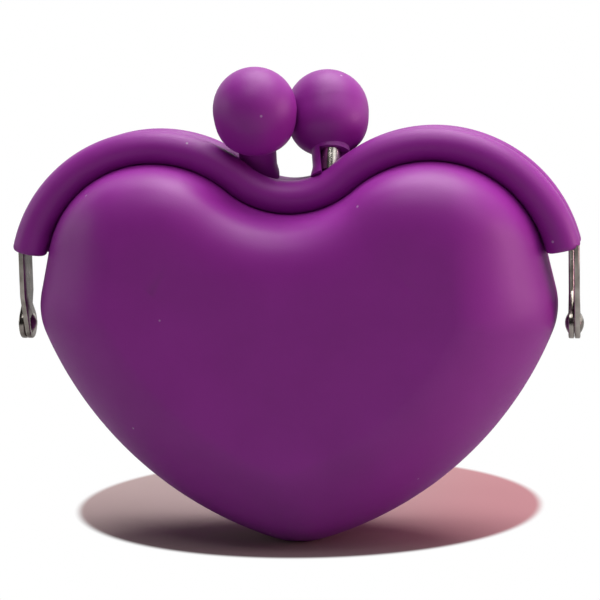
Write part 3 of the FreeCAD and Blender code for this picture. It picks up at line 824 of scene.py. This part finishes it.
# Floor and light, in metres: inside the oval the floor's colour is painted shadow, darker at the front and
# pink to the right, on top of the real shadow that the lamps cast; the oval has its middle given in its own
# half sizes
FLOOR_HALF = 3.0
FLOOR_GREY = (0.45, 0.45, 0.45, 1)
# Painted shadow colours of the floor in the oval (grey-pink to the left, pink to the right, dark at the
# front), and the sides and depths between which they change
PAINTED_SHADOW_LEFT = (0.52, 0.40, 0.39)
PAINTED_SHADOW_RIGHT = (0.58, 0.29, 0.31)
PAINTED_SHADOW_FRONT = (0.25, 0.18, 0.19)
PAINTED_SHADOW_SIDES = (-0.02, 0.04)
PAINTED_SHADOW_DEPTHS = (-0.018, 0.004)
OVAL_SHIFT = (0.05, -0.625, 0)
OVAL_HALF = (0.0452, 0.0421)
OVAL_EDGE = (0.98, 1.03)
EVEN_LIGHT = 0.02
BACKDROP_EDGE = (0.0, 0.4)
LIGHT_TARGET = (0, 0, 0.04)

# The photograph's view, with angles in radians and lengths in millimetres
CAMERA_YAW = 0.149
CAMERA_PITCH = 0.1395
CAMERA_ROLL = -0.0226
CAMERA_DISTANCE = 400
CAMERA_SHIFT = 0.79
CAMERA_HEIGHT = 100.5
CAMERA_LENS = 132.5
CAMERA_SENSOR = 36


def joined(tree, operation, first, second):
    node = tree.nodes.new("ShaderNodeMath")
    node.operation = operation
    tree.links.new(first, node.inputs[0])
    tree.links.new(second, node.inputs[1])
    return node.outputs["Value"]


def mirrored(tree, rays):
    """1 for the rays that a reflection or a clear piece shows."""
    return joined(tree, "MAXIMUM", rays.outputs["Is Glossy Ray"], rays.outputs["Is Transmission Ray"])


def floor():
    """A floor that shows the object's real shadow inside an oval, darkened and tinted there by painted
    shadow colours, and is plain white around it.
    """
    made, tree, shader, place = material("floor_white")
    tree.nodes.remove(shader)
    rays = tree.nodes.new("ShaderNodeLightPath")
    plain = tree.nodes.new("ShaderNodeBsdfDiffuse")
    plain.inputs["Color"].default_value = FLOOR_GREY
    shaded = tree.nodes.new("ShaderNodeBsdfDiffuse")
    # Painted shadow: the lit floor's colour in the oval goes from grey-pink on the left to pink on the
    # right, and is dark at the front
    spot = tree.nodes.new("ShaderNodeSeparateXYZ")
    tree.links.new(place, spot.inputs["Vector"])
    rightward = between(tree, spot.outputs["X"], *PAINTED_SHADOW_SIDES)
    painted_side_shadow = mixed(tree, rightward, PAINTED_SHADOW_LEFT, PAINTED_SHADOW_RIGHT)
    backward = between(tree, spot.outputs["Y"], *PAINTED_SHADOW_DEPTHS)
    painted_shadow_colour = mixed(tree, backward, PAINTED_SHADOW_FRONT, painted_side_shadow)
    tree.links.new(painted_shadow_colour, shaded.inputs["Color"])
    white = tree.nodes.new("ShaderNodeEmission")
    white.inputs["Strength"].default_value = 1.0
    oval = tree.nodes.new("ShaderNodeMapping")
    oval.inputs["Location"].default_value = OVAL_SHIFT
    oval.inputs["Scale"].default_value = (1 / OVAL_HALF[0], 1 / OVAL_HALF[1], 1)
    tree.links.new(place, oval.inputs["Vector"])
    away = tree.nodes.new("ShaderNodeVectorMath")
    away.operation = "LENGTH"
    tree.links.new(oval.outputs["Vector"], away.inputs[0])
    seen = tree.nodes.new("ShaderNodeMixShader")
    tree.links.new(between(tree, away.outputs["Value"], *OVAL_EDGE), seen.inputs["Fac"])
    tree.links.new(shaded.outputs["BSDF"], seen.inputs[1])
    tree.links.new(white.outputs["Emission"], seen.inputs[2])
    choice = tree.nodes.new("ShaderNodeMixShader")
    tree.links.new(rays.outputs["Is Camera Ray"], choice.inputs["Fac"])
    tree.links.new(plain.outputs["BSDF"], choice.inputs[1])
    tree.links.new(seen.outputs["Shader"], choice.inputs[2])
    tree.links.new(choice.outputs["Shader"], tree.nodes["Material Output"].inputs["Surface"])
    corners = np.array([(-1, -1, 0), (1, -1, 0), (1, 1, 0), (-1, 1, 0)]) * FLOOR_HALF / MM
    ground = mesh_piece("floor", corners, [(0, 1, 2, 3)])
    paint(ground, made)


def surroundings():
    """A white background, which reflections show behind the object, and dimmer even light on it."""
    world = bpy.data.worlds.new("studio")
    bpy.context.scene.world = world
    world.use_nodes = True
    tree = world.node_tree
    tree.nodes.clear()
    rays = tree.nodes.new("ShaderNodeLightPath")
    way = tree.nodes.new("ShaderNodeSeparateXYZ")
    tree.links.new(tree.nodes.new("ShaderNodeTexCoord").outputs["Generated"], way.inputs["Vector"])
    behind = between(tree, way.outputs["Y"], *BACKDROP_EDGE)
    backdrop = joined(tree, "MULTIPLY", mirrored(tree, rays), behind)
    white = tree.nodes.new("ShaderNodeBackground")
    white.inputs["Strength"].default_value = 1.0
    even = tree.nodes.new("ShaderNodeBackground")
    even.inputs["Strength"].default_value = EVEN_LIGHT
    for background in (white, even):
        background.inputs["Color"].default_value = (1, 1, 1, 1)
    choice = tree.nodes.new("ShaderNodeMixShader")
    tree.links.new(joined(tree, "MAXIMUM", rays.outputs["Is Camera Ray"], backdrop), choice.inputs["Fac"])
    tree.links.new(even.outputs["Background"], choice.inputs[1])
    tree.links.new(white.outputs["Background"], choice.inputs[2])
    output = tree.nodes.new("ShaderNodeOutputWorld")
    tree.links.new(choice.outputs["Shader"], output.inputs["Surface"])


def soft_light(name, place, size, power, colour=WHITE):
    """A rectangular area light at a place in metres, turned to the object."""
    lamp = bpy.data.lights.new(name, "AREA")
    lamp.shape = "RECTANGLE"
    lamp.size, lamp.size_y = size
    lamp.energy = power
    lamp.color = colour
    light = bpy.data.objects.new(name, lamp)
    light.location = place
    light.rotation_euler = (Vector(LIGHT_TARGET) - Vector(place)).to_track_quat("-Z", "Y").to_euler()
    bpy.context.scene.collection.objects.link(light)


def camera():
    """The photograph's view: a little from the right, a little from above, slightly rolled."""
    yaw, pitch, roll = CAMERA_YAW, CAMERA_PITCH, CAMERA_ROLL
    ahead = Vector((-math.sin(yaw) * math.cos(pitch), math.cos(yaw) * math.cos(pitch), -math.sin(pitch)))
    level = ahead.cross(Vector((0, 0, 1))).normalized()
    upright = level.cross(ahead)
    right = level * math.cos(roll) + upright * math.sin(roll)
    up = upright * math.cos(roll) - level * math.sin(roll)
    lens = bpy.data.cameras.new("camera")
    lens.sensor_width = CAMERA_SENSOR
    lens.lens = CAMERA_LENS
    eye = bpy.data.objects.new("camera", lens)
    sideways = CAMERA_DISTANCE * math.sin(yaw) + CAMERA_SHIFT
    place = Vector((sideways, -CAMERA_DISTANCE * math.cos(yaw), CAMERA_HEIGHT)) * MM
    eye.matrix_world = Matrix.Translation(place) @ Matrix((right, up, -ahead)).transposed().to_4x4()
    bpy.context.scene.collection.objects.link(eye)
    bpy.context.scene.camera = eye


floor()
surroundings()
soft_light("overhead", (0.08, 0.12, 0.66), (0.55, 0.45), 4.2)
soft_light("front_fill", (-0.02, -0.32, 0.62), (0.25, 0.25), 0.9)
soft_light("right_top", (0.42, -0.20, 0.50), (0.40, 0.40), 0.8)
soft_light("right_side", (0.64, 0.0, 0.12), (0.30, 0.25), 1.4, (1.0, 0.60, 0.72))
soft_light("left_side", (-0.62, -0.10, 0.20), (0.30, 0.30), 0.5)
camera()
bpy.context.scene.view_settings.view_transform = "Standard"
